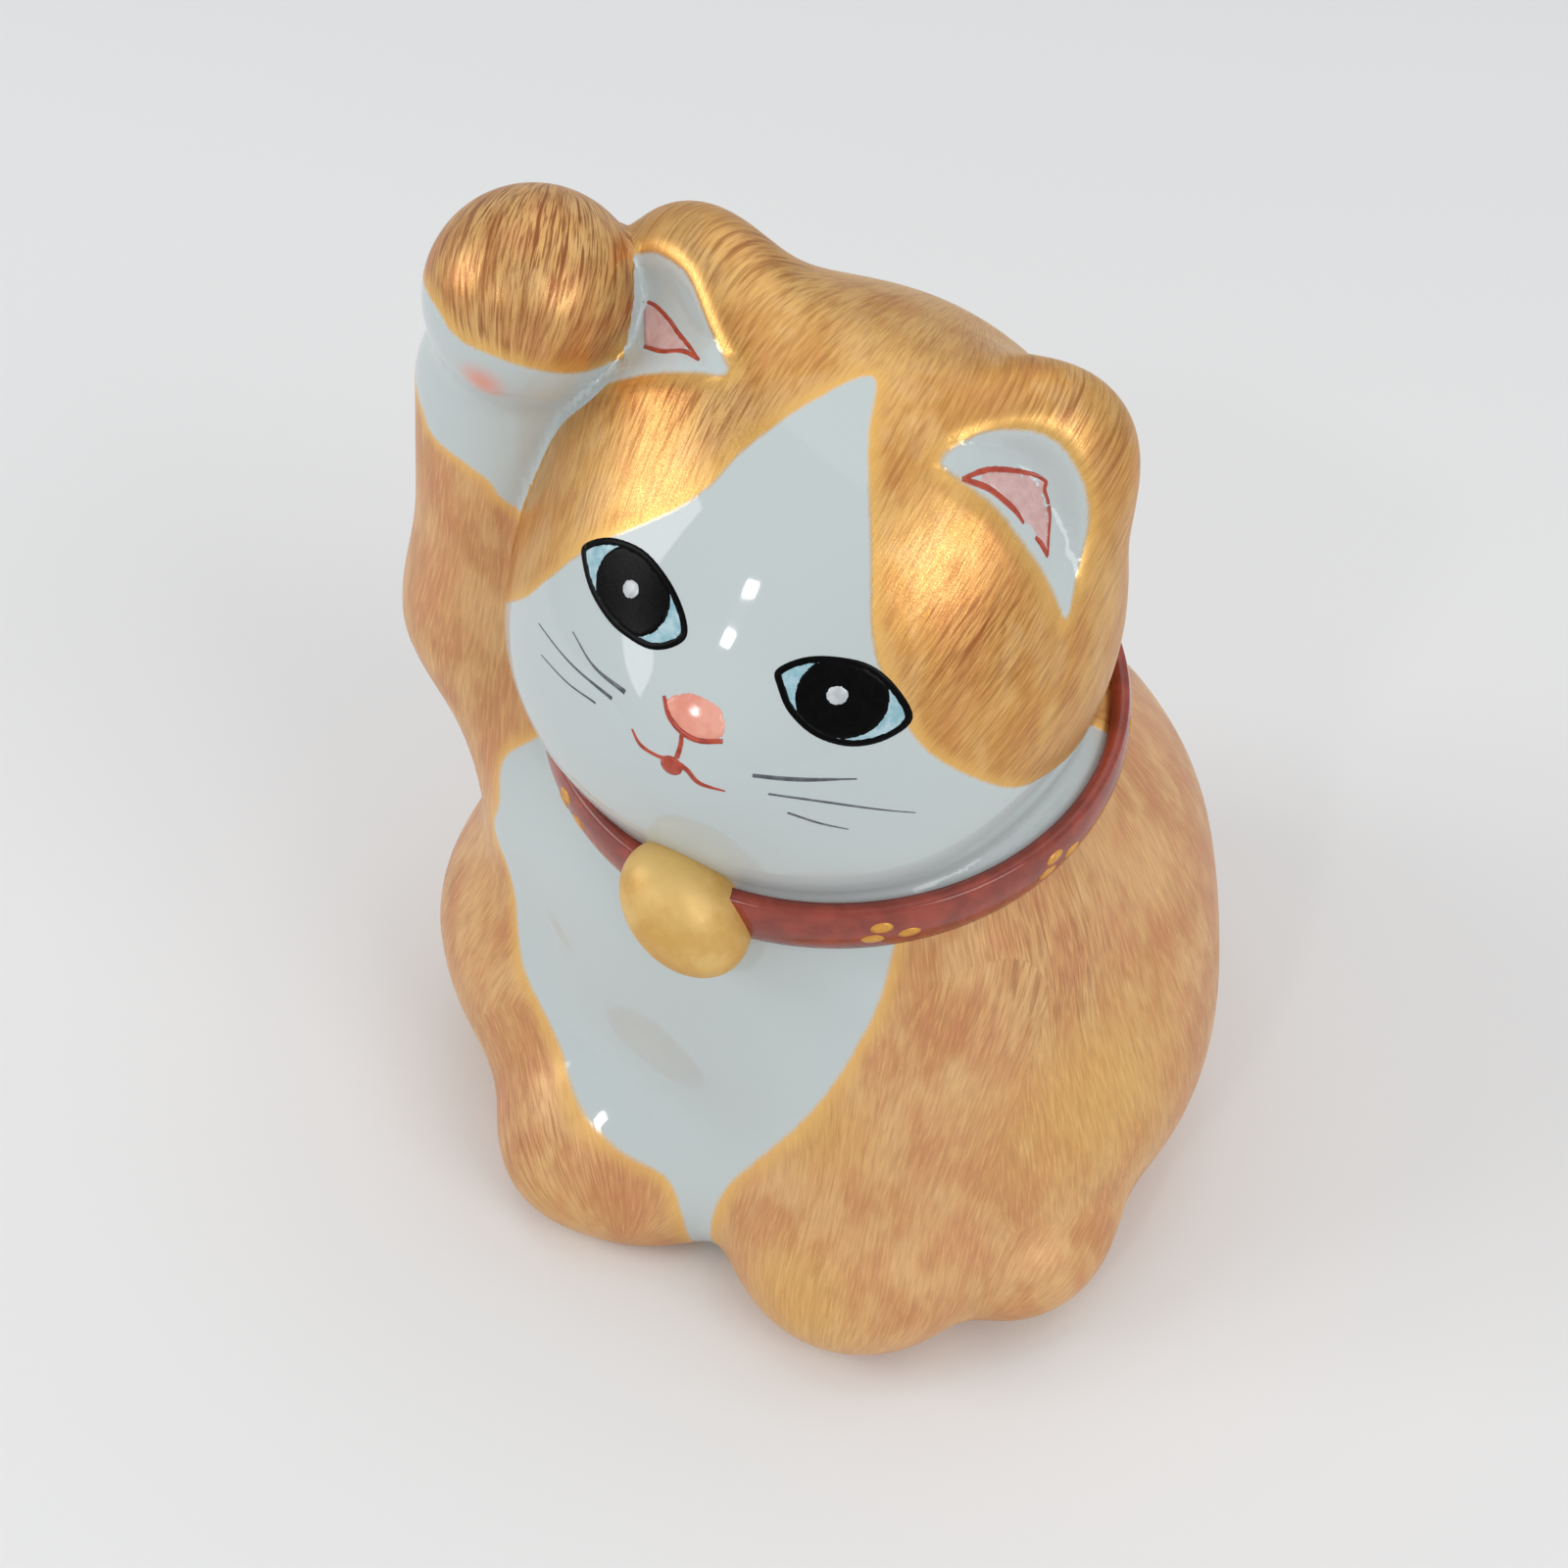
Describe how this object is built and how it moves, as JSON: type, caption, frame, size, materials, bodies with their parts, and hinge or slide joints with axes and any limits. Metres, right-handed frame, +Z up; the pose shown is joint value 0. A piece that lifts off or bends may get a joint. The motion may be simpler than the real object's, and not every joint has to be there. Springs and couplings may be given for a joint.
{
  "type": "beckoning cat figurine",
  "caption": "Seated porcelain cat with one forepaw raised beside its tilted head, a collar with a bell, and a flat base to stand on.",
  "frame": {"origin": "on the flat unglazed base, under the middle of the trunk, where the figurine rests", "axes": "+Z up, -Y the way the cat faces, +X the cat's own left"},
  "size_m": [0.0756, 0.0743, 0.0907],
  "materials": {
    "body_glaze": "glossy clear glaze over white porcelain, brushed orange-tan fur with a white chest",
    "limb_gilding": "glossy glaze with brushed gold and brown fur strokes",
    "face_glaze": "glossy white porcelain with gilded fur patches and painted features",
    "ear_gilding": "gilded fur outside, white porcelain cup with pink inside",
    "collar_enamel": "glossy maroon enamel with small gold dots",
    "bell_gilding": "satin gold lustre"
  },
  "bodies": {
    "root": {"body": "body_glaze", "head": "face_glaze", "collar": "collar_enamel", "bell": "bell_gilding", "ear_right": "ear_gilding", "ear_left": "ear_gilding", "raised_foreleg": "limb_gilding", "standing_foreleg": "limb_gilding", "hind_leg_right": "limb_gilding", "hind_foot_left": "limb_gilding", "tail": "limb_gilding"}
  },
  "joints": []
}
